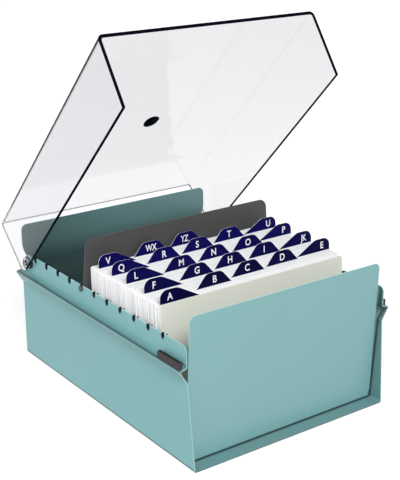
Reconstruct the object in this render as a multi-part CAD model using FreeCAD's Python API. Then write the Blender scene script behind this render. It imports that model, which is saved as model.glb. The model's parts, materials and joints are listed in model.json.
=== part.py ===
import FreeCAD, Part
import math
import os

# Index card file: an open-topped sheet-steel box with notched side rails, a clear
# moulded lid hinged at the back, a follower plate and a set of lettered index guides.
# Millimetres. +Z up, +Y towards the back, origin at the middle of the underside.
# Depths called "from the front" are measured from the front edge of the box bottom.

Vector = FreeCAD.Vector

# ---- driving dimensions: the cards ----
card_width = 203.2
card_height = 127.0
card_lean = 4.0                 # degrees, the stack leans back against the follower
card_side_gap = 3.7             # each side, between card and box side
card_gap = 0.1                  # between one loose piece and the next
guide_thickness = 0.5
guide_corner = 2.0
guide_shift = 3.0               # the guides behind the first are pushed to the right by this
front_card_thickness = 0.4
stack_gap = 0.2                 # last card to the follower's top edge
tab_height = 12.0
tab_gap = 4.0                   # between one tab position and the next
tab_positions = 5
tab_shoulder = 18.0             # flat run of an end tab, from its straight edge
tab_end_corner = 7.5
tab_end_shoulder_corner = 13.0
tab_corner = 8.0
tab_foot = 4.0
tab_end_reach = 3.0              # how far an end tab's slope runs into the gap
tab_side_run = 10.6             # sideways run of a sloping tab side
letters = ["a", "b", "c", "d", "e", "f", "g", "h", "i", "jk", "l", "m",
           "n", "o", "p", "q", "r", "s", "t", "u", "v", "wx", "yz"]
bundle_thickness = [8.8, 4.3, 1.8, 2.0, 7.3, 6.3, 3.6, 2.6, 1.9, 9.6, 2.3, 4.3,
                    2.0, 7.3, 3.7, 6.1, 2.6, 5.4, 1.7, 2.4, 5.3, 1.8, 1.2]

# ---- driving dimensions: the sheet-steel shell ----
sheet = 1.0
box_depth = 284.5
wall_spread = 2.8               # each side wall leans out by this at the flare
flare_height = 78.1
flare_out = 8.1
lip_rise = 12.2                 # flare up to the folded tip
ledge_width = 7.6
ledge_rise = 1.9                # folded tip up to the foot of the rail
rail_height = 18.2
front_slope = 7.1               # how far the front edge has gone back at the flare
rear_slope = 3.3
rail_front = 7.6                # from the front
rail_front_corner = 5.5
bottom_bend = 1.5               # inner bend radii
flare_bend = 3.0
lip_bend = 0.4
ledge_bend = 0.5

# ---- driving dimensions: the follower notches ----
notch_first = 40.3              # from the front
notch_hinge_gap = 9.0           # at least this from the last notch to the hinge
notch_pitch = 21.33
notch_width = 4.6
notch_depth = 5.2
notch_corner = 2.1

# ---- driving dimensions: the end panels ----
front_foot = 14.3               # front face, from the front
front_lean = 4.4                # forward at the top
front_height = 134.0
panel_side_gap = 0.5
panel_corner = 6.0
panel_bend = 1.0
panel_flange = 18.0
flange_side_gap = 2.3
flange_side_height = 3.5
back_inset = 12.0               # rear face of its foot, from the rear edge
back_lean = 6.5                 # backward at the top
back_height = 137.4
back_half_width = 109.2
back_narrow = 103.4             # half width below the hinges
back_narrow_height = 103.2
back_wide_height = 111.2
back_sweep = 29.0

# ---- driving dimensions: the follower plate ----
follower_notch = 6              # counted from 0 at the front
follower_height = 153.4
follower_top_half = 104.1
follower_top_corner = 9.0
follower_side_gap = 1.05
follower_foot_gap = 0.3
follower_foot_corner = 3.0
lug_seat_gap = 0.1
lug_height = 4.4
lug_rail_gap = 0.45
lug_ear_radius = 2.6

# ---- driving dimensions: the lid ----
lid_wall = 3.0
lid_side_gap = 0.9              # folded tip, before rounding, to lid side, seen from above
lid_edge_radius = 5.0
lid_front = 5.6                 # front bottom corner, from the front
lid_front_overhang = 14.4       # the front edge leans forward by this
lid_headroom = 1.0              # over the follower, at the rear
lid_taper = 3.1                 # the top is higher at the front by this
lid_rear_run = 10.2
lid_bottom_drop = 6.0           # hinge axis to the bottom edge
lid_rear_corner = 10.0
lid_open = 47.4                 # degrees from closed
lid_clearance = 30.0            # how far the hollowing tool overshoots the lid
gate_radius = 8.0
gate_depth = 0.5
gate_nub = 2.0

# ---- driving dimensions: hinges and lid rests ----
hinge_inset = 19.5              # from the rear edge
hinge_rise = 10.8               # above the foot of the rail
ear_radius = 7.2
hub_radius = 3.0
hub_clearance = 0.08
boss_radius = 5.0
barb_radius = 3.7
barb_gap = 0.3
barb_length = 2.8
hub_slot = 1.0
washer_radius = 6.2
washer_thickness = 1.1
washer_bore_gap = 0.2
face_gap = 0.05
rest_front = 9.5                # from the front
rest_length = 31.0
rest_inset = 1.5                # rail to rest
rest_width = 4.3
rest_gap = 0.1                  # lid bottom edge to rest, lid closed
rest_end_corner = 2.0
rest_top_corner = 1.5
seat_gap = 0.02

# ---- places worked out from those ----
inner_half = card_width / 2 + card_side_gap
outer_half = inner_half + sheet
wall_top_half = outer_half + wall_spread
lip_half = wall_top_half + flare_out
lip_height = flare_height + lip_rise
rail_outer = lip_half - ledge_width
rail_inner = rail_outer - sheet
ledge_height = lip_height + ledge_rise
rail_top = ledge_height + rail_height
floor = sheet
back_foot = box_depth - back_inset
hinge_from_front = box_depth - hinge_inset
hinge_height = ledge_height + hinge_rise
notch_count = 1 + int((hinge_from_front - notch_hinge_gap - notch_first) / notch_pitch)
follower_place = notch_first + follower_notch * notch_pitch
lid_outer = lip_half - lid_side_gap
lid_inner = lid_outer - lid_wall
lid_front_run = hinge_from_front - lid_front
lid_rear_rise = follower_height + lid_headroom + lid_wall - hinge_height
lid_front_rise = lid_rear_rise + lid_taper
washer_inner_face = rail_outer + face_gap
washer_outer_face = washer_inner_face + washer_thickness
lean_run = card_height * math.sin(math.radians(card_lean))
lean_rise = card_height * math.cos(math.radians(card_lean))
hinge_axis = Vector(0, hinge_from_front - box_depth / 2, hinge_height)


def from_front(depth):
    return depth - box_depth / 2


def side_view(depth, height):
    return Vector(0, from_front(depth), height)


def front_view(x, height):
    return Vector(x, 0, height)


def outline(corners, place):
    """A closed wire through (u, v) or (u, v, radius) corners, each rounded by its radius."""
    points = [Vector(c[0], c[1], 0) for c in corners]
    radii = [c[2] if len(c) > 2 else 0 for c in corners]
    stretches = []
    for i, corner in enumerate(points):
        to_last = (points[i - 1] - corner).normalize()
        to_next = (points[(i + 1) % len(points)] - corner).normalize()
        if radii[i] == 0:
            stretches.append((corner, None, corner))
            continue
        half_angle = to_last.getAngle(to_next) / 2
        reach = radii[i] / math.tan(half_angle)
        bisector = (to_last + to_next).normalize()
        middle = corner + bisector * (radii[i] / math.sin(half_angle) - radii[i])
        stretches.append((corner + to_last * reach, middle, corner + to_next * reach))
    edges = []
    for i, (start, middle, end) in enumerate(stretches):
        if middle is not None:
            arc_points = [place(p.x, p.y) for p in (start, middle, end)]
            edges.append(Part.Arc(*arc_points).toShape())
        following = stretches[(i + 1) % len(stretches)][0]
        if (following - end).Length > 1e-6:
            edges.append(Part.LineSegment(place(end.x, end.y), place(following.x, following.y)).toShape())
    return Part.Wire(edges)


def prism(corners, place, start, length):
    """The outlined area, moved by start and drawn out along length."""
    face = Part.Face(outline(corners, place))
    face.translate(start)
    return face.extrude(length)


def across(corners, half_width):
    """A side-view outline drawn out over the full width, from -half_width to +half_width."""
    return prism(corners, side_view, Vector(-half_width, 0, 0), Vector(2 * half_width, 0, 0))


def along(corners):
    """A front-view outline drawn out over the whole depth, and past both ends."""
    return prism(corners, front_view, Vector(0, -box_depth, 0), Vector(0, 2 * box_depth, 0))


def sheet_strip(path, bends):
    """Corners of a folded sheet: path is one face, the sheet's thickness lies on its left."""
    points = [Vector(u, v, 0) for u, v in path]
    headings = [(b - a).normalize() for a, b in zip(points, points[1:])]
    lefts = [Vector(-h.y, h.x, 0) * sheet for h in headings]
    near = [(points[0].x, points[0].y)]
    far = [(points[0] + lefts[0])[:2]]
    for i, bend in enumerate(bends):
        turn = headings[i].cross(headings[i + 1]).z
        mitre = (lefts[i] + lefts[i + 1]).normalize()
        shift = mitre * (sheet / mitre.dot(lefts[i] / sheet))
        corner = points[i + 1]
        near_radius = bend + sheet if turn > 0 else bend
        far_radius = bend if turn > 0 else bend + sheet
        near.append((corner.x, corner.y, near_radius))
        far.append(tuple((corner + shift)[:2]) + (far_radius,))
    near.append((points[-1].x, points[-1].y))
    far.append((points[-1] + lefts[-1])[:2])
    return near + far[::-1]


def x_cylinder(radius, low_x, high_x, centre):
    return Part.makeCylinder(radius, high_x - low_x, Vector(low_x, centre.y, centre.z), Vector(1, 0, 0))


def mirrored(shape):
    return shape.mirror(Vector(0, 0, 0), Vector(1, 0, 0))


# ---- the steel shell: bottom, flared sides, folded lips and notched rails ----
def make_base_shell():
    spare = sheet
    right_side = [(outer_half, 0), (wall_top_half, flare_height), (lip_half, lip_height),
                  (rail_outer, ledge_height), (rail_outer, rail_top + spare)]
    left_side = [(-x, z) for x, z in reversed(right_side)]
    side_bends = [ledge_bend, lip_bend, flare_bend, bottom_bend]
    folded = along(sheet_strip(left_side + right_side, side_bends + side_bends[::-1]))

    rear = box_depth - rear_slope
    ear_rear = hinge_from_front + ear_radius
    profile = [(0, -spare), (0, 0), (front_slope, flare_height), (rail_front, ledge_height),
               (rail_front, rail_top, rail_front_corner)]
    notch_bottom = rail_top - notch_depth
    for i in range(notch_count):
        low = notch_first + i * notch_pitch - notch_width / 2
        high = low + notch_width
        profile += [(low, rail_top), (low, notch_bottom, notch_corner),
                    (high, notch_bottom, notch_corner), (high, rail_top)]
    ledge_end = ledge_height + sheet / 4
    profile += [(ear_rear, rail_top, ear_radius), (ear_rear, ledge_end), (rear, ledge_end),
                (rear, flare_height), (box_depth, 0), (box_depth, -spare)]
    shell = folded.common(across(profile, 2 * outer_half))
    bore = x_cylinder(hub_radius + hub_clearance, -lip_half, lip_half, hinge_axis)
    return shell.cut(bore)


# ---- end panels: each stands on a foot flange, spot-welded to the bottom ----
def panel_sides(half_width):
    flange_half = inner_half - flange_side_gap
    return [(flange_half, 0), (flange_half, flange_side_height), (half_width, flange_side_height + panel_corner)]


def both_sides(right_corners):
    return right_corners + [(-c[0],) + tuple(c[1:]) for c in reversed(right_corners)]


def make_front_panel():
    spare = panel_corner
    slope = front_lean / front_height
    section = sheet_strip([(front_foot - slope * (front_height + spare), front_height + spare),
                           (front_foot, floor), (front_foot + panel_flange, floor)], [panel_bend])
    half = inner_half - panel_side_gap
    face = both_sides(panel_sides(half) + [(half, front_height, panel_corner)])
    return across(section, outer_half).common(along(face))


def make_back_panel():
    spare = panel_corner
    slope = back_lean / back_height
    section = sheet_strip([(back_foot - panel_flange, floor), (back_foot, floor),
                           (back_foot + slope * (back_height + spare), back_height + spare)], [panel_bend])
    face = both_sides([(back_narrow - panel_side_gap, 0), (back_narrow, flange_side_height),
                       (back_narrow, back_narrow_height), (back_half_width, back_wide_height, back_sweep),
                       (back_half_width, back_height, panel_corner)])
    return across(section, lip_half).common(along(face))


# ---- the lid: a clear channel, open in front, behind and below, with split snap hubs ----
def lid_profile(grow):
    """The lid's side outline when closed, or its hollow: grow moves the open sides out."""
    top = lid_wall if grow else 0
    back = hinge_from_front + lid_rear_run + grow
    overhang = lid_front - lid_front_overhang
    fall = (lid_front_rise - lid_rear_rise) / (lid_front_run + lid_front_overhang + lid_rear_run)
    low = hinge_height - lid_bottom_drop - grow
    return [(lid_front - grow, low),
            (overhang - grow, hinge_height + lid_front_rise - top + fall * grow),
            (back, hinge_height + lid_rear_rise - top - fall * grow),
            (back, low, 0 if grow else lid_rear_corner)]


def rounded_block(corners, half_width, radius):
    """A prism across the box whose two long top edges are rounded."""
    block = across(corners, half_width)
    top_edges = [e for e in block.Edges
                 if abs(e.Vertexes[0].Point.x - e.Vertexes[-1].Point.x) < radius / 10
                 and e.BoundBox.ZMin > hinge_height + lid_rear_rise / 2]
    return block.makeFillet(radius, top_edges)


def make_hub():
    """The right-hand hub: boss on the side wall, split shaft through the rail, barbed end."""
    inner_end = rail_inner - barb_gap - barb_length
    hub = x_cylinder(boss_radius, washer_outer_face + face_gap, lid_inner + lid_wall / 2, hinge_axis)
    hub = hub.fuse(x_cylinder(hub_radius, inner_end, lid_inner, hinge_axis))
    barb_start = Vector(inner_end, hinge_axis.y, hinge_axis.z)
    barb = Part.makeCone(hub_radius * 0.8, barb_radius, barb_length, barb_start, Vector(1, 0, 0))
    slot = Part.makeBox(lid_inner - inner_end, 2 * lid_rear_corner, hub_slot,
                        Vector(inner_end, hinge_axis.y - lid_rear_corner, hinge_axis.z - hub_slot / 2))
    return hub.fuse(barb).cut(slot)


def make_lid():
    outer = rounded_block(lid_profile(0), lid_outer, lid_edge_radius)
    hollow = rounded_block(lid_profile(lid_clearance), lid_inner, lid_edge_radius - lid_wall)
    lid = outer.cut(hollow)
    hub = make_hub()
    lid = lid.fuse(hub).fuse(mirrored(hub))

    full_run = lid_front_run + lid_front_overhang + lid_rear_run
    tilt = math.atan((lid_front_rise - lid_rear_rise) / full_run)
    middle = Vector(0, hinge_axis.y + lid_rear_run - full_run / 2,
                    hinge_axis.z + (lid_front_rise + lid_rear_rise) / 2)
    outward = Vector(0, math.sin(tilt), math.cos(tilt))
    recess_floor = middle - outward * gate_depth
    recess = Part.makeCylinder(gate_radius, 2 * gate_depth, recess_floor, outward)
    nub = Part.makeCylinder(gate_nub, 2 * gate_depth, recess_floor, outward)
    lid = lid.cut(recess.cut(nub))
    lid.rotate(hinge_axis, Vector(1, 0, 0), -lid_open)
    return lid.removeSplitter()


def make_hinge_washer():
    outside = x_cylinder(washer_radius, washer_inner_face, washer_outer_face, hinge_axis)
    return outside.cut(x_cylinder(hub_radius + washer_bore_gap, washer_inner_face, washer_outer_face, hinge_axis))


# ---- rubber rests on the ledges, under the lid's side walls ----
def make_lid_rest():
    fall = (ledge_height - lip_height) / ledge_width
    inside = rail_outer + rest_inset
    outside = inside + rest_width
    top = hinge_height - lid_bottom_drop - rest_gap
    ledge_in = ledge_height + seat_gap - fall * rest_inset
    ledge_out = ledge_in - fall * rest_width
    section = [(inside, ledge_in), (outside, ledge_out), (outside, top, rest_top_corner),
               (inside, top, rest_top_corner)]
    block = prism(section, front_view, Vector(0, from_front(rest_front), 0), Vector(0, rest_length, 0))
    ends = [(rest_front, inside, rest_end_corner), (rest_front + rest_length, inside, rest_end_corner / 2),
            (rest_front + rest_length, outside, rest_end_corner / 2), (rest_front, outside, rest_end_corner)]
    plan = prism(ends, lambda depth, x: Vector(x, from_front(depth), 0),
                 Vector(0, 0, 0), Vector(0, 0, rail_top))
    return block.common(plan)


# ---- the follower: a plate whose lugs sit in a pair of rail notches ----
def make_follower():
    wide = rail_inner - follower_side_gap
    foot = inner_half - follower_side_gap
    seat = rail_top - notch_depth + lug_seat_gap
    ear_face = rail_outer + lug_rail_gap
    lug_end = ear_face + sheet
    corners = both_sides([(foot, floor + follower_foot_gap, follower_foot_corner), (wide, ledge_height),
                          (wide, seat), (lug_end, seat), (lug_end, seat + lug_height),
                          (wide, seat + lug_height),
                          (follower_top_half, follower_height, follower_top_corner)])
    back_face = from_front(follower_place) - sheet / 2
    plate = prism(corners, front_view, Vector(0, back_face, 0), Vector(0, sheet, 0))
    ear_centre = Vector(0, from_front(follower_place), seat + lug_height / 2)
    ear = x_cylinder(lug_ear_radius, ear_face, lug_end, ear_centre)
    return plate.fuse(ear).fuse(mirrored(ear)).removeSplitter()


# ---- cards and guides: upright outlines, leaned back, standing on the box bottom ----
def leaned(corners, depth_at_top, thickness):
    """A card-shaped plate whose front face passes depth_at_top at the card's top edge."""
    foot = from_front(depth_at_top) - lean_run
    plate = prism(corners, front_view, Vector(0, foot, floor), Vector(0, thickness, 0))
    plate.rotate(Vector(0, foot + thickness, floor), Vector(1, 0, 0), -card_lean)
    plate.translate(Vector(0, thickness / math.cos(math.radians(card_lean)) - thickness, seat_gap))
    return plate


def card_corners():
    half = card_width / 2
    return [(-half, 0, guide_corner), (half, 0, guide_corner),
            (half, card_height, guide_corner), (-half, card_height, guide_corner)]


def guide_corners(position):
    """A card outline with a tab at one of the positions, 0 at the left."""
    half = card_width / 2
    top = card_height + tab_height
    tab_width = (card_width - tab_gap * (tab_positions - 1)) / tab_positions
    left = -half + position * (tab_width + tab_gap)
    right = left + tab_width
    left_foot, right_foot, right_corner, left_corner = card_corners()
    base = [left_foot, right_foot]
    if position == 0:
        foot = right + tab_end_reach
        tab = [(foot, card_height, tab_foot), (left + tab_shoulder, top, tab_end_shoulder_corner),
               (left, top, tab_end_corner)]
        return base + [right_corner] + tab
    if position == tab_positions - 1:
        foot = left - tab_end_reach
        tab = [(right, top, tab_end_corner), (right - tab_shoulder, top, tab_end_shoulder_corner),
               (foot, card_height, tab_foot)]
        return base + tab + [left_corner]
    tab = [(right, card_height, tab_foot), (right - tab_side_run, top, tab_corner),
           (left + tab_side_run, top, tab_corner), (left, card_height, tab_foot)]
    return base + [right_corner] + tab + [left_corner]


def make_bundle(depth_at_top, thickness):
    """Blank cards side by side: the stack shears, so its top and foot stay level."""
    low = floor + seat_gap
    foot = depth_at_top - lean_run
    corners = [(foot, low), (foot + thickness, low),
               (depth_at_top + thickness, low + lean_rise), (depth_at_top, low + lean_rise)]
    return across(corners, card_width / 2)


def make_cards():
    """The front card, then each guide followed by its bundle, leaning back on the follower."""
    pieces = {}
    lean_cos = math.cos(math.radians(card_lean))
    gap = card_gap / lean_cos
    front_run = front_card_thickness / lean_cos + gap
    guide_run = guide_thickness / lean_cos + gap
    above_cards = follower_height - floor - lean_rise
    stack_back = (follower_place - sheet / 2 - stack_gap
                  - above_cards * math.tan(math.radians(card_lean)))
    depth = stack_back - front_run - sum(guide_run + thick + gap for thick in bundle_thickness)
    pieces["front_card"] = leaned(card_corners(), depth, front_card_thickness)
    depth += front_run
    for i, letter in enumerate(letters):
        guide = leaned(guide_corners(i % tab_positions), depth, guide_thickness)
        guide.translate(Vector(guide_shift if i > 0 else 0, 0, 0))
        pieces["guide_" + letter] = guide
        depth += guide_run
        pieces["cards_" + letter] = make_bundle(depth, bundle_thickness[i])
        depth += bundle_thickness[i] + gap
    return pieces


def make_parts():
    washer = make_hinge_washer()
    rest = make_lid_rest()
    parts = {
        "base_shell": make_base_shell(),
        "front_panel": make_front_panel(),
        "back_panel": make_back_panel(),
        "lid": make_lid(),
        "hinge_washer_left": mirrored(washer),
        "hinge_washer_right": washer,
        "lid_rest_left": mirrored(rest),
        "lid_rest_right": rest,
        "follower_plate": make_follower(),
    }
    parts.update(make_cards())
    return parts


os.makedirs("parts", exist_ok=True)
for name, shape in make_parts().items():
    shape.exportStep("parts/" + name + ".step")
    box = shape.BoundBox
    print("%-20s solids %d valid %s volume %9.1f  x %7.2f %7.2f  y %7.2f %7.2f  z %7.2f %7.2f" % (
        name, len(shape.Solids), shape.isValid(), shape.Volume,
        box.XMin, box.XMax, box.YMin, box.YMax, box.ZMin, box.ZMax))
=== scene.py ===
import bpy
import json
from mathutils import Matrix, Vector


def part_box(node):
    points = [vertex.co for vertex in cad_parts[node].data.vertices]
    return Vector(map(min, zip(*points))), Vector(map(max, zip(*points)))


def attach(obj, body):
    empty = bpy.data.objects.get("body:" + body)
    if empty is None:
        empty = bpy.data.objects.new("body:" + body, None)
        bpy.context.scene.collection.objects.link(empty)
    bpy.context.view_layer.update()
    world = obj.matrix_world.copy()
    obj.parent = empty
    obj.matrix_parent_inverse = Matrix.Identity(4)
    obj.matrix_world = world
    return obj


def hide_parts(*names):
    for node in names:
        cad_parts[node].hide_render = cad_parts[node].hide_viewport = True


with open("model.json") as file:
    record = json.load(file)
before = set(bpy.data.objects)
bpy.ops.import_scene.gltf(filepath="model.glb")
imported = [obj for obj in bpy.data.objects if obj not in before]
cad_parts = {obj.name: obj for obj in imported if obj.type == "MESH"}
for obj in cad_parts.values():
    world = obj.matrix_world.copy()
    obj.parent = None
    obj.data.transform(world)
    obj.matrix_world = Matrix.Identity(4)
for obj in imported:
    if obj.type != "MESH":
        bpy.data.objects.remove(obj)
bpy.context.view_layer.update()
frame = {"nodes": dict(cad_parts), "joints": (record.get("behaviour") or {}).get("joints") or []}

import json
import math
import random

import bmesh
import bpy
from mathutils import Matrix, Vector

# ---- View ----
# Eye level with the open lid, from the front left corner, a long lens a metre away.
# The box turns its left side and its front to the eye in about equal parts.

FRAME_WIDTH = 400
FRAME_HEIGHT = 480
EYE = Vector((-0.59105, -0.79445, 0.4903))
HEADING = math.radians(35.4475)
DIP = math.radians(17.4094)
LENS_PIXELS = 1132.42
CENTRE_X = 174.245
CENTRE_Y = 197.59
SENSOR_WIDTH = 36
NEAREST = 0.05

camera_data = bpy.data.cameras.new("camera")
camera = bpy.data.objects.new("camera", camera_data)
bpy.context.scene.collection.objects.link(camera)
camera.rotation_euler = (math.pi / 2 - DIP, 0, -HEADING)
camera.location = EYE
camera_data.sensor_width = SENSOR_WIDTH
camera_data.lens = LENS_PIXELS * SENSOR_WIDTH / FRAME_HEIGHT
camera_data.shift_x = (FRAME_WIDTH / 2 - CENTRE_X) / FRAME_HEIGHT
camera_data.shift_y = (CENTRE_Y - FRAME_HEIGHT / 2) / FRAME_HEIGHT
camera_data.clip_start = NEAREST
bpy.context.scene.camera = camera
bpy.context.scene.view_settings.view_transform = "Standard"


# ---- Painted steel: folded box, front panel and back panel ----
# One-millimetre sheet, punched, folded and spot-welded, then sprayed sea green. The satin
# paint is paler on cut edges, a painted highlight, and dull and dark in folds, seams and the
# inside of the box, which is painted shade; the sides take a darker copy, painted shade too.

MM = 0.001
BLACK = (0, 0, 0, 1)
SEA_GREEN = (0.226, 0.448, 0.457, 1)
# The shell's copy of the paint is darker: painted shade for the stronger light on its sides.
SEA_GREEN_SIDES_PAINTED_SHADE = (0.188, 0.427, 0.441, 1)
# Cut edges are paler: a painted highlight.
SEA_GREEN_EDGE_PAINTED_HIGHLIGHT = (0.34, 0.565, 0.575, 1)
# Near-black painted shade on the faces that curve under the bottom bend.
SEA_GREEN_UNDER_BEND_PAINTED_SHADE = (0.020, 0.075, 0.085, 1)
# Near-black painted shade in the rail notches.
NOTCH_PAINTED_SHADE = (0.006, 0.008, 0.009, 1)
# Share of the paint left by painted shade inside the shell.
SHELL_INSIDE_PAINTED_SHADE = 0.62
# Share of the paint left by painted shade on the panels' inner faces.
PANEL_INSIDE_PAINTED_SHADE = 0.58

# Painted shade by height: pairs of millimetres above the table and share of the paint left.
# The shell: painted shade in the bottom bend, under the lip and on the ledge.
FOLD_PAINTED_SHADE_BY_HEIGHT = ((0, 0.6), (2.0, 0.72), (3.0, 1.0), (74, 1.0), (89.4, 0.84), (90.0, 0.95),
               (90.3, 0.10), (90.9, 0.14), (91.3, 0.56), (92.0, 0.64), (93.5, 0.96), (110.4, 1.0))
INSIDE_PAINTED_SHADE_BY_HEIGHT = ((0, 1.0), (72, 1.0), (81, 0.62), (90, 0.42), (93, 0.55), (104, 0.80), (110.4, 0.86))
PANEL_INSIDE_PAINTED_SHADE_BY_HEIGHT = ((0, 0.25), (98, 0.30), (118, 0.78), (150, 1.0), (170, 1.0))
# The front panel: painted shade along its foot.
FOOT_PAINTED_SHADE_BY_HEIGHT = ((0, 0.62), (1.6, 0.74), (2.8, 1.0), (134, 1.0))
# The cut edges are darker at their feet: painted shade.
EDGE_PAINTED_SHADE_BY_HEIGHT = ((0, 0.22), (1.1, 0.30), (2.2, 1.0), (140, 1.0))
# Painted shade along the seam beside the front panel, and the distances over which it fades.
SEAM_PAINTED_SHADE = 0.27
SEAM_START = 0.4 * MM
SEAM_END = 2.3 * MM
PEEL_HEIGHT = 0.03 * MM

# The sheet's edges and bends, and the part of the rails that is notched.
EDGE_WIDTH = 1.3 * MM
EDGE_ROUNDING = 0.2 * MM
BOTTOM_TOP = 3 * MM
BEND_TOP = 2.3 * MM
TURNED_IN = 2.2 * MM
NOTCH_DEPTH = 6 * MM
BELOW_RAIL_TOP = 0.2 * MM
NOTCHES_FRONT = -106 * MM
NOTCHES_REAR = 116 * MM

# How points, edges and faces are told apart: a distance, angles, and how far a face looks one way,
# from 1 for straight at it to -1 for straight away.
SAME_POINT = 0.001 * MM
SAME_PLANE = math.radians(0.6)
SHARP_ANGLE = math.radians(38)
CREASE_ANGLE = math.radians(40)
BLUNT_ANGLE = 0.6
MOST_BLUNT = 0.2
FACING = 0.9
MOSTLY_FACING = 0.5
NOTCH_SIDE_SLANT = 0.35
LOOKS_INWARD = 0.3
CROSSWAYS = 0.2
LOOKS_DOWN = -0.1
FLAT_UNDERSIDE = -0.98


class Value:
    """A shader socket that takes part in arithmetic."""

    def __init__(self, finish, socket):
        self.finish = finish
        self.socket = socket

    def maths(self, operation, first, second):
        return self.finish.node("ShaderNodeMath", {"operation": operation}, {0: first, 1: second})

    def __add__(self, other):
        return self.maths("ADD", self, other)

    def __radd__(self, other):
        return self.maths("ADD", other, self)

    def __rsub__(self, other):
        return self.maths("SUBTRACT", other, self)

    def __mul__(self, other):
        return self.maths("MULTIPLY", self, other)

    def __rmul__(self, other):
        return self.maths("MULTIPLY", other, self)

    def larger(self, other):
        return self.maths("MAXIMUM", self, other)


class Finish:
    """A material or world in the making; skin holds its main shader's sockets."""

    def __init__(self, name, room=False, **fixed):
        made = bpy.data.worlds if room else bpy.data.materials
        self.material = made.new(name)
        self.material.use_nodes = True
        self.tree = self.material.node_tree
        self.skin = self.tree.nodes["Background" if room else "Principled BSDF"].inputs
        for socket, value in fixed.items():
            self.skin[socket.replace("_", " ").title().replace("Ior", "IOR")].default_value = value

    def feed(self, socket, value):
        if isinstance(value, Value):
            self.tree.links.new(value.socket, socket)
        else:
            socket.default_value = value

    def node(self, kind, settings, inputs, output=0):
        made = self.tree.nodes.new(kind)
        for name, setting in settings.items():
            if name == "stops":
                set_stops(made.color_ramp.elements, setting)
            else:
                setattr(made, name, setting)
        for name, value in inputs.items():
            self.feed(made.inputs[name], value)
        return Value(self, made.outputs[output])

    def place(self):
        return self.node("ShaderNodeTexCoord", {}, {}, "Object")

    def stretched(self, scale):
        return self.node("ShaderNodeMapping", {}, {"Vector": self.place(), "Scale": scale})

    def part_of(self, vector, axis):
        return self.node("ShaderNodeSeparateXYZ", {}, {"Vector": vector}, axis)

    def between(self, value, low, high, at_low=0.0, at_high=1.0):
        """Runs from one result to the other while the value goes from low to high, and holds there."""
        limits = {"Value": value, "From Min": low, "From Max": high, "To Min": at_low, "To Max": at_high}
        return self.node("ShaderNodeMapRange", {}, limits)

    def noise(self, vector, scale, detail=2.0):
        sockets = {"Vector": vector, "Scale": scale, "Detail": detail}
        return self.node("ShaderNodeTexNoise", {}, sockets, "Fac")

    def mixed(self, factor, first, second):
        # A Mix node's two colours are its inputs 6 and 7, and the mixed one is its output 2.
        sockets = {"Factor": factor, 6: first, 7: second}
        return self.node("ShaderNodeMix", {"data_type": "RGBA"}, sockets, 2)

    def around(self, factor, colour, spread):
        """The colour, a little darker at 0 and lighter at 1."""
        return self.mixed(factor, shade_of(colour, 1 - spread), shade_of(colour, 1 + spread))

    def on_top(self, most):
        """From 0 on upright faces to the given value on faces that look up."""
        normal = self.node("ShaderNodeTexCoord", {}, {}, "Normal")
        return self.between(self.part_of(normal, "Z"), low=0.5, high=0.95, at_high=most)

    def set_colour(self, tone):
        self.feed(self.skin["Base Color"], tone)

    def set_roughness(self, pattern, least, spread):
        """Rises from the least value by the spread as the pattern goes from 0 to 1."""
        self.feed(self.skin["Roughness"], least + spread * pattern)

    def bump(self, height, depth):
        sockets = {"Height": height, "Distance": depth, "Strength": 1.0}
        self.feed(self.skin["Normal"], self.node("ShaderNodeBump", {}, sockets))


def shade_of(colour, amount):
    return tuple(channel * amount for channel in colour[:3]) + (1,)


def set_stops(elements, stops):
    """Gives a colour ramp its (position, grey) stops, lowest first."""
    first_position, first_grey = stops[0]
    elements.remove(elements[1])
    elements[0].position = first_position
    elements[0].color = (first_grey, first_grey, first_grey, 1)
    for position, grey in stops[1:]:
        elements.new(position).color = (grey, grey, grey, 1)


def by_height(finish, heights):
    """A value that runs through (millimetres above the table, value) pairs, lowest first."""
    top = heights[-1][0]
    share = finish.part_of(finish.place(), "Z") * (1 / (top * MM))
    stops = [(height / top, value) for height, value in heights]
    return finish.node("ShaderNodeValToRGB", {"stops": stops}, {"Fac": share})


def joined_copy(node):
    """A solid's mesh as clean faces: corners merged, flat triangles joined."""
    shape = bmesh.new()
    shape.from_mesh(frame["nodes"][node].data)
    bmesh.ops.remove_doubles(shape, verts=shape.verts, dist=SAME_POINT)
    bmesh.ops.dissolve_limit(shape, angle_limit=SAME_PLANE, verts=shape.verts, edges=shape.edges)
    return shape


def painted_seam_shade(finish):
    """Painted shade along the seam: its share close to the plane of the front panel's outer face, 1 a little
    way off.
    """
    panel = joined_copy("front_panel")
    outer = max(panel.faces, key=lambda face: -face.normal.y * face.calc_area())
    point = outer.calc_center_median()
    normal = outer.normal.copy()
    panel.free()
    offset = finish.node("ShaderNodeVectorMath", {"operation": "SUBTRACT"}, {0: finish.place(), 1: point})
    ahead = finish.node("ShaderNodeVectorMath", {"operation": "DOT_PRODUCT"}, {0: offset, 1: normal}, "Value")
    return finish.between(ahead.larger(0 - ahead), SEAM_START, SEAM_END, at_low=SEAM_PAINTED_SHADE)


def sprayed_paint(name, colour, heights=None, seam=False, shine=1.0):
    """Satin spray paint: a slow drift of tone, fine orange peel and slightly uneven gloss; where heights are
    given, painted shade by height, and beside the seam where asked.
    """
    paint = Finish(name, coat_weight=0.15 * shine, coat_roughness=0.25, specular_ior_level=0.5 * shine)
    drift = paint.noise(paint.place(), scale=9.0)
    peel = paint.noise(paint.place(), scale=620.0)
    tone = paint.around(drift, colour, spread=0.035)
    if heights:
        # Painted shade: the tone runs towards black by height, and beside the seam where asked.
        shade_by_height = by_height(paint, heights)
        if seam:
            shade_by_height = shade_by_height * painted_seam_shade(paint)
        tone = paint.mixed(shade_by_height, BLACK, tone)
    paint.set_colour(tone)
    paint.set_roughness(peel, least=0.40, spread=0.10)
    paint.bump(peel, PEEL_HEIGHT)
    return paint.material


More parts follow.
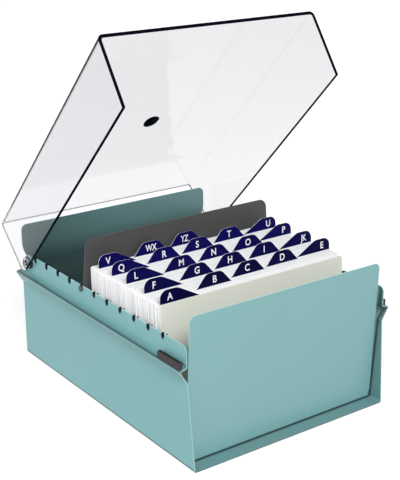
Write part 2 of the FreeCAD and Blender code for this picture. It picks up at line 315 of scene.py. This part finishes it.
def rim_faces(shape, widest):
    """The narrow faces with sharp long sides: a sheet's cut edges."""
    rims = []
    for face in shape.faces:
        outline = face.calc_perimeter()
        joined = [e for e in face.edges if len(e.link_faces) == 2]
        blunt = sum(e.calc_length() for e in joined if e.calc_face_angle() < BLUNT_ANGLE)
        if face.calc_area() / (outline / 2) < widest and blunt < MOST_BLUNT * outline:
            rims.append(face)
    return rims


def round_edges(shape, radius, material=-1):
    """Rounds every sharp edge; the new faces keep their neighbour's material or take the given one."""
    joined = [e for e in shape.edges if len(e.link_faces) == 2]
    sharp = [e for e in joined if e.calc_face_angle() > SHARP_ANGLE]
    bmesh.ops.bevel(shape, geom=sharp, offset=radius, segments=2, profile=0.5,
                    affect="EDGES", material=material, clamp_overlap=False)


def piece(shape, name, body, materials, stands_for=()):
    """Makes the finished shape a named, smoothly shaded piece that rides on a body."""
    mesh = bpy.data.meshes.new(name)
    for face in shape.faces:
        face.smooth = True
    shape.to_mesh(mesh)
    shape.free()
    mesh.set_sharp_from_angle(angle=CREASE_ANGLE)
    for material in materials:
        mesh.materials.append(material)
    thing = bpy.data.objects.new(name, mesh)
    bpy.context.scene.collection.objects.link(thing)
    thing.modifiers.new("even_normals", "WEIGHTED_NORMAL").keep_sharp = True
    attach(thing, body)
    if stands_for:
        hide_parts(*stands_for)


# The front's foot and the shell's folds take painted shade by height.
front_paint = sprayed_paint("sea_green_paint_front", SEA_GREEN, FOOT_PAINTED_SHADE_BY_HEIGHT)
shell_paint = sprayed_paint("sea_green_paint_shell", SEA_GREEN_SIDES_PAINTED_SHADE, FOLD_PAINTED_SHADE_BY_HEIGHT)
back_paint = sprayed_paint("sea_green_paint_back", SEA_GREEN)
panel_inside_shade_paint = sprayed_paint("sea_green_painted_shade_panel_inside", shade_of(SEA_GREEN, PANEL_INSIDE_PAINTED_SHADE),
                                   PANEL_INSIDE_PAINTED_SHADE_BY_HEIGHT)
cut_edge_highlight_and_shade_paint = sprayed_paint("sea_green_painted_highlight_and_shade_on_cut_edges", SEA_GREEN_EDGE_PAINTED_HIGHLIGHT, EDGE_PAINTED_SHADE_BY_HEIGHT)
notch_shade_paint = sprayed_paint("painted_shade_in_notches", NOTCH_PAINTED_SHADE)
shell_inside_shade_paint = sprayed_paint("sea_green_painted_shade_shell_inside", shade_of(SEA_GREEN, SHELL_INSIDE_PAINTED_SHADE),
                                   INSIDE_PAINTED_SHADE_BY_HEIGHT, seam=True)
under_bend_shade_paint = sprayed_paint("sea_green_painted_shade_under_bend", SEA_GREEN_UNDER_BEND_PAINTED_SHADE, shine=0.05)
shell_paints = [shell_paint, cut_edge_highlight_and_shade_paint, notch_shade_paint, shell_inside_shade_paint, under_bend_shade_paint]
OUTSIDE, CUT_EDGE, IN_NOTCH, INSIDE, UNDER_BEND = range(5)
PANEL_INNER_FACE = 2


def turn_in_notch_sides(shell):
    """Carries the sides of each rail notch a little way into the box, as the punch leaves them; the notch
    faces and these strips take a near-black painted shade.
    """
    rail_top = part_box("base_shell")[1].z
    for face in shell.faces[:]:
        middle = face.calc_center_median()
        along_rail = NOTCHES_FRONT < middle.y < NOTCHES_REAR
        in_notch = rail_top - NOTCH_DEPTH < middle.z < rail_top - BELOW_RAIL_TOP
        if not along_rail or not in_notch or abs(face.normal.x) >= CROSSWAYS:
            continue
        face.material_index = IN_NOTCH
        if abs(face.normal.y) < NOTCH_SIDE_SLANT:
            continue
        inner = [e for e in face.edges if all(abs(v.co.x) < abs(middle.x) for v in e.verts)]
        turned = bmesh.ops.extrude_edge_only(shell, edges=inner)["geom"]
        moved = [v for v in turned if isinstance(v, bmesh.types.BMVert)]
        bmesh.ops.translate(shell, verts=moved, vec=(-math.copysign(TURNED_IN, middle.x), 0, 0))
        for strip in turned:
            if isinstance(strip, bmesh.types.BMFace):
                strip.material_index = IN_NOTCH


shell = joined_copy("base_shell")
for face in shell.faces:
    middle = face.calc_center_median()
    # Faces looking into the box and the bottom's top take the inside's painted shade.
    inward = face.normal.x * middle.x < 0 and abs(face.normal.x) > LOOKS_INWARD
    if inward or (face.normal.z > FACING and middle.z < BOTTOM_TOP):
        face.material_index = INSIDE
    # Faces curving under the bottom bend take that dark painted shade.
    if middle.z < BEND_TOP and FLAT_UNDERSIDE < face.normal.z < LOOKS_DOWN:
        face.material_index = UNDER_BEND
for face in rim_faces(shell, EDGE_WIDTH):
    face.material_index = CUT_EDGE
turn_in_notch_sides(shell)
round_edges(shell, EDGE_ROUNDING)
piece(shell, "base_shell_painted", "base", shell_paints, ["base_shell"])

for node, outer_paint, into_box in (("front_panel", front_paint, 1), ("back_panel", back_paint, -1)):
    panel = joined_copy(node)
    for face in panel.faces:
        # The face towards the inside of the box takes painted shade, darker towards the bottom.
        face.material_index = PANEL_INNER_FACE if face.normal.y * into_box > MOSTLY_FACING else OUTSIDE
    for face in rim_faces(panel, EDGE_WIDTH):
        face.material_index = CUT_EDGE
    round_edges(panel, EDGE_ROUNDING, material=CUT_EDGE)
    paints = [outer_paint, cut_edge_highlight_and_shade_paint, panel_inside_shade_paint]
    piece(panel, node + "_painted", "base", paints, [node])


# ---- Rubber: lid rests and hinge washers ----
# Small moulded blocks pressed on to the front of each ledge, and a flat washer on
# each side squeezed between the lid and the rail, which makes the lid stay where put.

REST_GREY = (0.046, 0.034, 0.039, 1)
WASHER_BLACK = (0.012, 0.012, 0.014, 1)
# Share of black on the faces that look up: painted shade.
RUBBER_TOP_PAINTED_SHADE = 0.9
RUBBER_GRAIN = 0.04 * MM
REST_ROUNDING = 0.5 * MM
WASHER_ROUNDING = 0.15 * MM


def moulded_rubber(name, colour):
    """Matt rubber with a fine grain, made almost black on the faces that look up by painted shade."""
    rubber = Finish(name, specular_ior_level=0.35)
    grain = rubber.noise(rubber.place(), scale=1500.0, detail=4.0)
    tone = rubber.around(grain, colour, spread=0.15)
    rubber.set_colour(rubber.mixed(rubber.on_top(RUBBER_TOP_PAINTED_SHADE), tone, BLACK))
    rubber.set_roughness(grain, least=0.62, spread=0.2)
    rubber.bump(grain, RUBBER_GRAIN)
    return rubber.material


rest_rubber = moulded_rubber("rest_rubber", REST_GREY)
washer_rubber = moulded_rubber("washer_rubber", WASHER_BLACK)
for side in ("left", "right"):
    rest = joined_copy("lid_rest_" + side)
    round_edges(rest, REST_ROUNDING)
    piece(rest, f"lid_rest_{side}_rubber", "base", [rest_rubber], ["lid_rest_" + side])
    washer = joined_copy("hinge_washer_" + side)
    round_edges(washer, WASHER_ROUNDING)
    piece(washer, f"hinge_washer_{side}_rubber", "base", [washer_rubber],
          ["hinge_washer_" + side])


# ---- Follower plate ----
# A dark grey moulded plate with a fine matt grain; its two lugs hang in a pair of
# rail notches and end in a rounded ear outside the rail.

FOLLOWER_GREY = (0.070, 0.069, 0.070, 1)
PLATE_GRAIN = 0.03 * MM
PLATE_ROUNDING = 0.25 * MM

plate_plastic = Finish("follower_plastic", specular_ior_level=0.4)
plate_grain = plate_plastic.noise(plate_plastic.place(), scale=1100.0, detail=3.0)
plate_plastic.set_colour(plate_plastic.around(plate_grain, FOLLOWER_GREY, spread=0.1))
plate_plastic.set_roughness(plate_grain, least=0.46, spread=0.12)
plate_plastic.bump(plate_grain, PLATE_GRAIN)
follower = joined_copy("follower_plate")
round_edges(follower, PLATE_ROUNDING)
piece(follower, "follower_plate_plastic", "follower", [plate_plastic.material],
      ["follower_plate"])


# ---- Lid ----
# One clear moulding with polished faces. Its cut edges take near-black painted shade for the light
# they turn away, and its rounded edges take painted shade where they curve out of sight.

CLEAR = (0.925, 0.925, 0.941, 1)
# Painted shade for curves turned edge-on to the eye.
CURVED_AWAY_PAINTED_SHADE = (0.10, 0.10, 0.11, 1)
# Grey painted shade on the inner faces of the roof's left curve.
INNER_BEND_PAINTED_SHADE = (0.16, 0.16, 0.17, 1)
# Near-black painted shade on the cut edges, and a painted reflection of the box's blue low down.
RIM_PAINTED_SHADE = (0.002, 0.002, 0.007, 1)
REAR_RIM_PAINTED_SHADE = (0.004, 0.004, 0.005, 1)
RIM_PAINTED_REFLECTION = (0.006, 0.023, 0.040, 1)
RIM_PAINTED_REFLECTION_BY_HEIGHT = ((0, 1.0), (152, 1.0), (161, 0.0), (340, 0.0))
RIM_WIDTH = 3.6 * MM
RIM_ROUNDING = 0.7 * MM
NEAR_RIM = 1.1 * RIM_ROUNDING
LONG_RIM_AREA = 150 * MM ** 2
ROOF_HEIGHT = 40 * MM
ROOF_MIDDLE = 1 * MM
FLAT = 0.03
HUB_REACH = 8 * MM
GATE_REACH = 8.5 * MM
GATE_AREA = 400 * MM ** 2
LID_SHINE = {"roughness": 0.0, "ior": 1.25, "transmission_weight": 1.0, "specular_tint": (0.1, 0.1, 0.1, 1)}


def cloudy_plastic(name, colour, scale, darkest, palest, **shine):
    """Clear plastic whose tint drifts a little, as it flowed in the mould."""
    plastic = Finish(name, **shine)
    flow = plastic.noise(plastic.place(), scale)
    plastic.set_colour(plastic.mixed(flow, shade_of(colour, darkest), shade_of(colour, palest)))
    return plastic.material


def curved_plastic(name, first_slant, full_slant):
    """Clear plastic with painted shade where the surface turns edge-on to the eye."""
    curved = Finish(name, **LID_SHINE)
    slant = curved.node("ShaderNodeLayerWeight", {}, {"Blend": 0.5}, "Facing")
    turned = curved.between(slant, first_slant, full_slant)
    curved.set_colour(curved.mixed(turned, CLEAR, CURVED_AWAY_PAINTED_SHADE))
    return curved.material


def painted_shade_rim(name, colour):
    """A cut edge in painted shade: faintly streaked, and blue low down, a painted reflection of the colour of
    the box.
    """
    rim = Finish(name, specular_ior_level=0.01)
    streak = rim.noise(rim.place(), scale=260.0)
    tone = rim.around(streak, colour, spread=0.3)
    rim.set_colour(rim.mixed(by_height(rim, RIM_PAINTED_REFLECTION_BY_HEIGHT), tone, RIM_PAINTED_REFLECTION))
    rim.set_roughness(streak, least=0.3, spread=0.1)
    return rim.material


lid_looks = [cloudy_plastic("clear_lid", CLEAR, scale=12.0, darkest=0.993, palest=1.007, **LID_SHINE),
             curved_plastic("clear_lid_curve_left_painted_shade", first_slant=0.30, full_slant=0.75),
             curved_plastic("clear_lid_curve_right_painted_shade", first_slant=0.60, full_slant=0.90),
             painted_shade_rim("lid_rim_painted_shade", RIM_PAINTED_SHADE),
             painted_shade_rim("lid_rear_rim_painted_shade", REAR_RIM_PAINTED_SHADE),
             cloudy_plastic("clear_lid_inner_bend_painted_shade", INNER_BEND_PAINTED_SHADE, scale=30.0, darkest=0.85, palest=1.15,
                            **LID_SHINE),
             cloudy_plastic("clear_lid_hub", CLEAR, scale=200.0, darkest=0.98, palest=1.05,
                            roughness=0.0, ior=1.46, transmission_weight=1.0)]
CURVE_LEFT, CURVE_RIGHT, DARK_RIM, REAR_RIM, INNER_CURVE, HUB = range(1, 7)
hinge = [joint for joint in frame["joints"] if joint["name"] == "lid_hinge"][0]
lid_turn = Matrix.Rotation(math.radians(hinge["range_deg"][0]), 3, "X")
rear_way = lid_turn @ Vector((0, 1, 0))
up_way = lid_turn @ Vector((0, 0, 1))
hinge_point = Vector(hinge["pos_m"])


def in_roof(face):
    """True well above the hinge, as the lid lies when it is closed."""
    return (face.calc_center_median() - hinge_point).dot(up_way) > ROOF_HEIGHT


lid = joined_copy("lid")
rim_planes = []
for face in rim_faces(lid, RIM_WIDTH):
    if face.calc_area() > LONG_RIM_AREA:
        look = REAR_RIM if face.normal.dot(rear_way) > FACING else DARK_RIM
        rim_planes.append((face.calc_center_median(), face.normal.copy(), look))
roof_faces = [face for face in lid.faces if in_roof(face)]
middle_faces = [face for face in roof_faces if abs(face.calc_center_median().x) < ROOF_MIDDLE]
gate_point = min(middle_faces, key=lambda face: face.calc_perimeter()).calc_center_median()
for face in lid.faces:
    middle = face.calc_center_median()
    on_left = middle.x < 0
    if in_roof(face) and FLAT < abs(face.normal.x) < 1 - FLAT:
        face.material_index = CURVE_LEFT if on_left else CURVE_RIGHT
        # The left curve's inner faces take the grey painted shade.
        if on_left and face.normal.x > 0:
            face.material_index = INNER_CURVE
    # The gate's dimple takes the rims' near-black painted shade.
    if (middle - gate_point).length < GATE_REACH and face.calc_area() < GATE_AREA:
        face.material_index = DARK_RIM
    if math.hypot(middle.y - hinge_point.y, middle.z - hinge_point.z) < HUB_REACH:
        face.material_index = HUB
round_edges(lid, RIM_ROUNDING)
# Faces along the long cut edges take their near-black painted shade; the rear rim's wide face stays clear.
for face in lid.faces:
    for point, normal, look in rim_planes:
        near = all(abs((vert.co - point).dot(normal)) < NEAR_RIM for vert in face.verts)
        if near and not (look == REAR_RIM and face.calc_area() > LONG_RIM_AREA):
            face.material_index = look
piece(lid, "lid_clear", "lid", lid_looks, ["lid"])


# ---- Cards ----
# Loose index cards stand on the bottom and lean back on the follower. Each bundle is
# many thin cards, no two quite level, so their edges make fine lines up the side. One
# plain cream card stands in front of them all.

CARD_LEAN = math.radians(4)
CARD_PITCH = 0.34 * MM
CARD_THICK = 0.27 * MM
CARD_CORNER = 1.6 * MM
CARD_SPARE = 0.5 * MM
UNEVEN_SIDEWAYS_MM = 0.5
UNEVEN_HEIGHT_MM = 0.45
FRONT_CARD_ROUNDING = 0.08 * MM
FIBRE_HEIGHT = 0.02 * MM
CARD_WHITE = (0.925, 0.928, 0.94, 1)
CREAM = (0.805, 0.815, 0.712, 1)
# Share of black on the faces that look up: painted shade for the gaps between cards.
CARD_TOP_PAINTED_SHADE = 0.26


def card_stock(name, colour, spread):
    """Uncoated card: faint fibres, a tone that drifts a little from sheet to sheet, and painted shade on the
    faces that look up.
    """
    stock = Finish(name, specular_ior_level=0.3)
    fibres = stock.noise(stock.stretched((1, 1, 0.3)), scale=1800.0, detail=3.0)
    sheets = stock.noise(stock.stretched((0.002, 1, 0.002)), scale=1400.0)
    tone = stock.around(sheets, colour, spread)
    stock.set_colour(stock.mixed(stock.on_top(CARD_TOP_PAINTED_SHADE), tone, BLACK))
    stock.set_roughness(fibres, least=0.68, spread=0.15)
    stock.bump(fibres, FIBRE_HEIGHT)
    return stock.material


def one_card(half_width, height, corner, thick):
    """An upright card with its front face at y = 0, its foot at z = 0 and rounded corners."""
    card = bmesh.new()
    corners = [(-half_width, 0), (half_width, 0), (half_width, height), (-half_width, height)]
    card.faces.new([card.verts.new((x, 0, z)) for x, z in corners])
    bmesh.ops.bevel(card, geom=card.verts[:], offset=corner, segments=2, profile=0.5,
                    affect="VERTICES", material=-1)
    side = bmesh.ops.extrude_face_region(card, geom=card.faces[:])
    moved = [v for v in side["geom"] if isinstance(v, bmesh.types.BMVert)]
    bmesh.ops.translate(card, verts=moved, vec=(0, thick, 0))
    bmesh.ops.recalc_face_normals(card, faces=card.faces)
    return card


def add_moved(shape, mesh, matrix):
    """Adds a copy of the mesh to the shape, at the place that the matrix gives."""
    before = len(shape.verts)
    shape.from_mesh(mesh)
    shape.verts.ensure_lookup_table()
    bmesh.ops.transform(shape, matrix=matrix, verts=shape.verts[before:])


white_card = card_stock("white_card", CARD_WHITE, spread=0.05)
cream_card = card_stock("cream_card", CREAM, spread=0.01)
letters = [node[len("guide_"):] for node in sorted(frame["nodes"]) if node.startswith("guide_")]
lean_back = Matrix.Rotation(-CARD_LEAN, 4, "X")
shuffle = random.Random(4)
for letter in letters:
    low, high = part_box("cards_" + letter)
    height = (high.z - low.z) / math.cos(CARD_LEAN)
    depth = high.y - low.y - (high.z - low.z) * math.tan(CARD_LEAN)
    count = max(2, round(depth / CARD_PITCH))
    card = one_card(high.x - CARD_SPARE, height - CARD_SPARE, CARD_CORNER, CARD_THICK)
    single = bpy.data.meshes.new("single_card")
    card.to_mesh(single)
    card.free()
    bundle = bmesh.new()
    for i in range(count):
        aside = shuffle.uniform(-UNEVEN_SIDEWAYS_MM, UNEVEN_SIDEWAYS_MM) * MM
        foot = low.y + (depth - CARD_THICK) * i / max(1, count - 1)
        raised = low.z + shuffle.uniform(0, UNEVEN_HEIGHT_MM) * MM
        add_moved(bundle, single, Matrix.Translation((aside, foot, raised)) @ lean_back)
    bpy.data.meshes.remove(single)
    piece(bundle, "blank_cards_" + letter, "section_" + letter, [white_card],
          ["cards_" + letter])

front_card = joined_copy("front_card")
round_edges(front_card, FRONT_CARD_ROUNDING)
piece(front_card, "front_card_cream", "front_card", [cream_card], ["front_card"])


# ---- Guides ----
# Stiff white boards, each with a tab in one of five places. The tab is wrapped in dark
# blue film with a white letter on both faces; the board's edge shows pale round it.

BOARD_WHITE = (0.86, 0.865, 0.88, 1)
TAB_BLUE = (0.006, 0.005, 0.110, 1)
TAB_BLUE_FRONT = (0.004, 0.004, 0.050, 1)
FILM_DARK_FRONT = -75 * MM
FILM_FULL_BLUE = 0
FILM_WAVES = 0.4
LETTER_WHITE = (0.92, 0.92, 0.94, 1)
WORN_INK = 0.94
LETTER_HEIGHT = 6.2 * MM
LETTER_RISE = 5.9 * MM
LETTER_PLACES_MM = (-91.4, -40.8, -0.8, 41.6, 92.1)
CAPITAL_SHARE = 0.70
STROKE_SHARE = 0.019
LETTER_SPACING = 0.95
NARROW_ONE = 0.92
NARROW_TWO = 0.78
M_STROKES = (-0.2 * MM, 0.2 * MM)
PROUD = 0.04 * MM
FILM_START = 0.2 * MM
FILM_FIRST_MIDDLE = 0.25 * MM
BOARD_ROUNDING = 0.07 * MM
BOARD, FILM = range(2)

guide_board = card_stock("guide_board", BOARD_WHITE, spread=0.015)
tab_film = Finish("tab_film", specular_ior_level=0.04)
film_wave = tab_film.noise(tab_film.place(), scale=90.0)
towards_rear = tab_film.part_of(tab_film.place(), "Y")
film_tone = tab_film.mixed(tab_film.between(towards_rear, FILM_DARK_FRONT, FILM_FULL_BLUE),
                           TAB_BLUE_FRONT, TAB_BLUE)
tab_film.set_colour(tab_film.mixed(FILM_WAVES * film_wave, film_tone, BLACK))
tab_film.set_roughness(film_wave, least=0.3, spread=0.12)
letter_ink = Finish("letter_white", base_color=LETTER_WHITE, roughness=0.5)
ink_wear = letter_ink.noise(letter_ink.place(), scale=700.0)
letter_ink.set_colour(letter_ink.mixed(ink_wear, shade_of(LETTER_WHITE, WORN_INK), LETTER_WHITE))


def tab_letter(text, x, front, back, z):
    """A bold narrow letter standing just proud of both faces of a tab."""
    curve = bpy.data.curves.new("letter", "FONT")
    curve.body = text
    curve.align_x = "CENTER"
    curve.size = LETTER_HEIGHT / CAPITAL_SHARE
    # An M fattened by an offset crosses itself, so it is laid down twice, a little apart.
    curve.offset = 0 if text == "M" else STROKE_SHARE * curve.size
    strokes = M_STROKES if text == "M" else (0,)
    curve.space_character = LETTER_SPACING
    written = bpy.data.objects.new("letter", curve)
    bpy.context.scene.collection.objects.link(written)
    flat = bpy.data.meshes.new_from_object(written.evaluated_get(bpy.context.evaluated_depsgraph_get()))
    bpy.data.objects.remove(written)
    narrow = Matrix.Diagonal((NARROW_ONE if len(text) == 1 else NARROW_TWO, 1, 1, 1))
    word = bmesh.new()
    for turn, y, lean in ((0, front, -CARD_LEAN), (math.pi, back, CARD_LEAN)):
        upright = Matrix.Rotation(turn, 4, "Z") @ Matrix.Rotation(math.pi / 2 + lean, 4, "X") @ narrow
        for aside in strokes:
            add_moved(word, flat, Matrix.Translation((x + aside, y, z)) @ upright)
    bpy.data.meshes.remove(flat)
    return word


for i, letter in enumerate(letters):
    low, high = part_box("guide_" + letter)
    card_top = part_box("cards_" + letter)[1].z
    board = joined_copy("guide_" + letter)
    cut = board.verts[:] + board.edges[:] + board.faces[:]
    bmesh.ops.bisect_plane(board, geom=cut, plane_co=(0, 0, card_top + FILM_START), plane_no=(0, 0, 1))
    for face in board.faces:
        above = face.calc_center_median().z > card_top + FILM_FIRST_MIDDLE
        face.material_index = FILM if above and abs(face.normal.y) > FACING else BOARD
    round_edges(board, BOARD_ROUNDING)
    piece(board, "guide_board_" + letter, "section_" + letter, [guide_board, tab_film.material],
          ["guide_" + letter])
    middle = (low.x + high.x) / 2 + LETTER_PLACES_MM[i % len(LETTER_PLACES_MM)] * MM
    rise = card_top + LETTER_RISE - LETTER_HEIGHT / 2
    thick = (high.y - low.y) - (high.z - low.z) * math.tan(CARD_LEAN)
    back = high.y - (high.z - rise) * math.tan(CARD_LEAN) + PROUD
    front = back - thick - 2 * PROUD
    word = tab_letter(letter.upper(), middle, front, back, rise)
    piece(word, "letter_" + letter, "section_" + letter, [letter_ink.material])


# ---- Floor and light ----
# A white table in a white room: soft light from all round, a broad lamp low on the left
# for the long side, and one high in front on the left that gives the folds their shape.

FLOOR_WHITE = (0.45, 0.45, 0.45, 1)
FLOOR_HALF = 6
FLOOR_LEVEL = -0.4 * MM
GLOW_START = 0.3
GLOW_END = 1.2
GLOW_BESIDE_BOX = 0.68
GLOW_FAR_OFF = 0.86
GLOW_THROUGH_LID = 0.655
ROOM_LIGHT = 0.35
ROOM_THROUGH_LID = 0.9
AIM = (0, 0, 0.1)


def looked_at(finish, straight, through_lid):
    """How brightly it is seen, straight or in a shine, or through the lid; 0 where it only gives light."""
    eye, shine, clear = [finish.node("ShaderNodeLightPath", {}, {}, f"Is {ray} Ray")
                         for ray in ("Camera", "Glossy", "Transmission")]
    return clear * through_lid + (1 - clear) * (eye.larger(shine) * straight)


floor_shape = bmesh.new()
bmesh.ops.create_grid(floor_shape, x_segments=1, y_segments=1, size=FLOOR_HALF)
floor_mesh = bpy.data.meshes.new("floor")
floor_shape.to_mesh(floor_mesh)
floor_shape.free()
floor = bpy.data.objects.new("floor", floor_mesh)
bpy.context.scene.collection.objects.link(floor)
floor.location.z = FLOOR_LEVEL
floor_white = Finish("floor_white", base_color=FLOOR_WHITE, roughness=0.9, emission_strength=1.0)
away = floor_white.node("ShaderNodeVectorMath", {"operation": "LENGTH"}, {0: floor_white.place()}, "Value")
glow = floor_white.between(away, GLOW_START, GLOW_END, GLOW_BESIDE_BOX, GLOW_FAR_OFF)
floor_white.feed(floor_white.skin["Emission Color"], looked_at(floor_white, glow, GLOW_THROUGH_LID))
floor_mesh.materials.append(floor_white.material)

room = Finish("room", room=True, strength=1.0)
seen = looked_at(room, 1 - ROOM_LIGHT, ROOM_THROUGH_LID - ROOM_LIGHT)
room.feed(room.skin["Color"], ROOM_LIGHT + seen)
bpy.context.scene.world = room.material


def soft_lamp(name, place, width, watts):
    lamp = bpy.data.lights.new(name, "AREA")
    lamp.shape = "SQUARE"
    lamp.size = width
    lamp.energy = watts
    lamp_object = bpy.data.objects.new(name, lamp)
    bpy.context.scene.collection.objects.link(lamp_object)
    lamp_object.location = place
    lamp_object.rotation_euler = (Vector(AIM) - Vector(place)).to_track_quat("-Z", "Y").to_euler()


soft_lamp("left_lamp", place=(-1.95, 0.25, 1.05), width=0.8, watts=16.0)
soft_lamp("front_lamp", place=(-0.66, -1.36, 1.45), width=0.7, watts=32.5)
